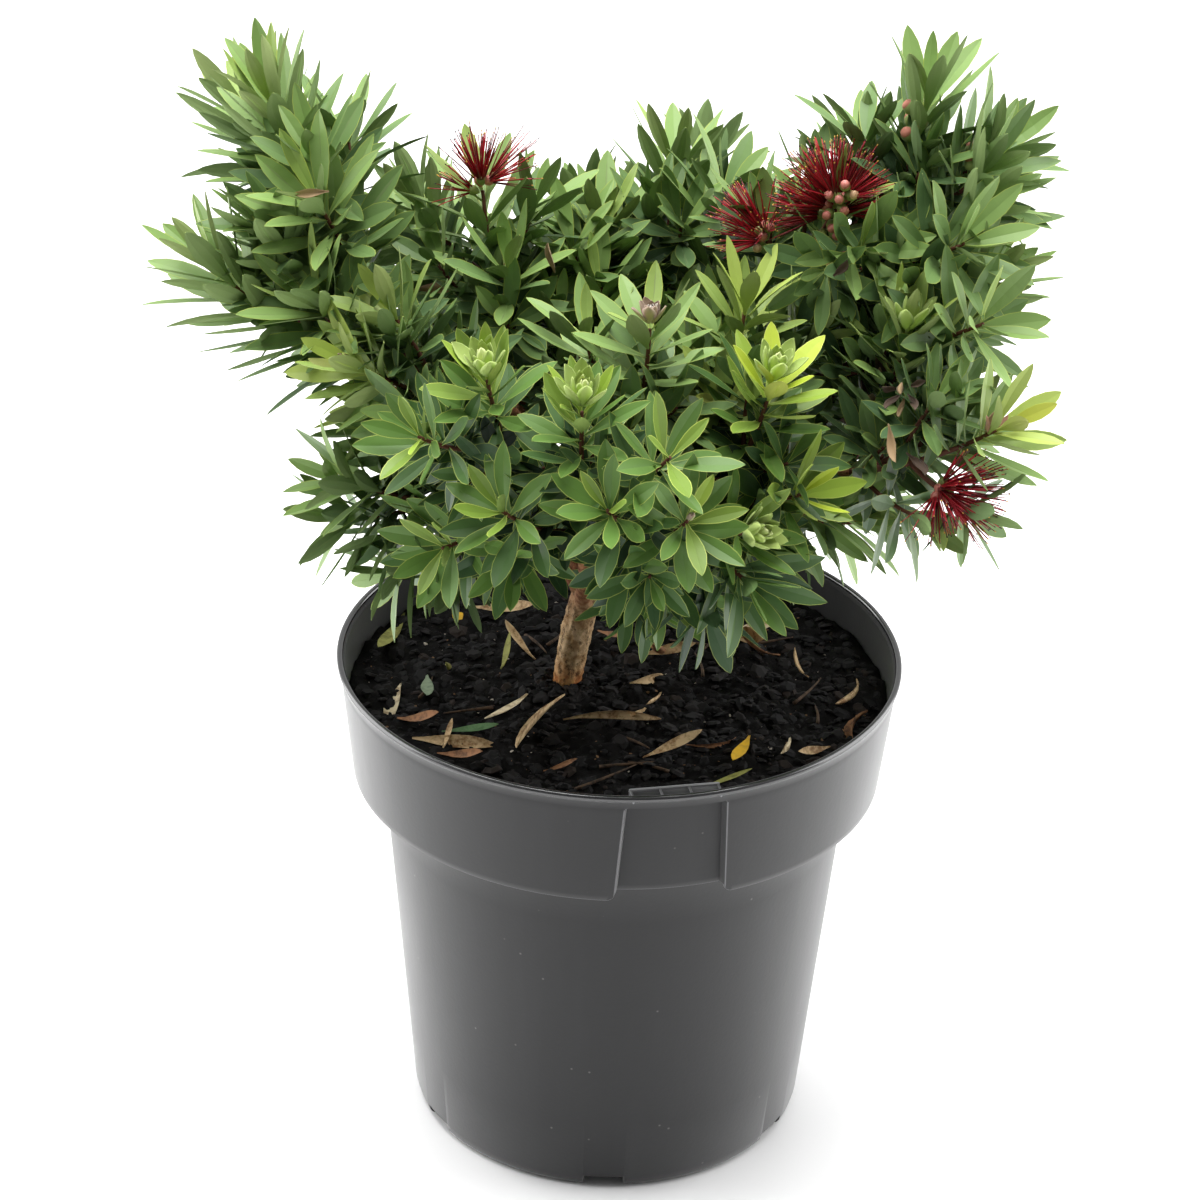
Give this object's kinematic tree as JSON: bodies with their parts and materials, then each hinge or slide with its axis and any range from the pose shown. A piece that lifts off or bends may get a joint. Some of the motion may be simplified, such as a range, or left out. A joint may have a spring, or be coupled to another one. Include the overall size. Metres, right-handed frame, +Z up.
{
  "type": "potted shrub",
  "caption": "Dwarf bottlebrush shrub with short leafy shoots and crimson brush flowers, standing in a round plastic nursery pot of potting mix.",
  "frame": {"origin": "centre of the pot's flat underside, on the floor", "axes": "+Z up along the pot's axis, +X to the right and -Y towards the side with the label recess"},
  "size_m": [0.3139, 0.2927, 0.411],
  "materials": {
    "pot_plastic": "satin moulded polypropylene, dark grey",
    "potting_mix": "moist composted bark, near black",
    "bark": "rough cracked bark",
    "foliage": "leathery mid-green leaves"
  },
  "bodies": {
    "root": {"pot": "pot_plastic", "potting_mix": "potting_mix", "trunk": "bark", "bough_back": "bark", "bough_back_left": "bark", "bough_back_left_low": "bark", "bough_back_right": "bark", "bough_back_right_low": "bark", "bough_centre": "bark", "bough_front": "bark", "bough_front_left": "bark", "bough_front_left_low": "bark", "bough_front_low": "bark", "bough_front_right_lime": "bark", "bough_front_right_low": "bark", "bough_left_far": "bark", "bough_left_high": "bark", "bough_left_inner": "bark", "bough_left_low": "bark", "bough_lime_middle": "bark", "bough_middle": "bark", "bough_right_blossom": "bark", "bough_right_far": "bark", "bough_right_high": "bark", "bough_right_inner": "bark", "bough_right_lime": "bark", "bough_right_low": "bark", "bough_right_side": "bark", "bough_top_back": "bark", "bough_top_left": "bark", "bough_trunk_cluster": "bark", "foliage_back": "foliage", "foliage_back_left": "foliage", "foliage_back_left_low": "foliage", "foliage_back_right": "foliage", "foliage_back_right_low": "foliage", "foliage_centre": "foliage", "foliage_front": "foliage", "foliage_front_left": "foliage", "foliage_front_left_low": "foliage", "foliage_front_low": "foliage", "foliage_front_right_lime": "foliage", "foliage_front_right_low": "foliage", "foliage_left_far": "foliage", "foliage_left_high": "foliage", "foliage_left_inner": "foliage", "foliage_left_low": "foliage", "foliage_lime_middle": "foliage", "foliage_middle": "foliage", "foliage_right_blossom": "foliage", "foliage_right_far": "foliage", "foliage_right_high": "foliage", "foliage_right_inner": "foliage", "foliage_right_lime": "foliage", "foliage_right_low": "foliage", "foliage_right_side": "foliage", "foliage_top_back": "foliage", "foliage_top_left": "foliage", "foliage_trunk_cluster": "foliage"}
  },
  "joints": []
}
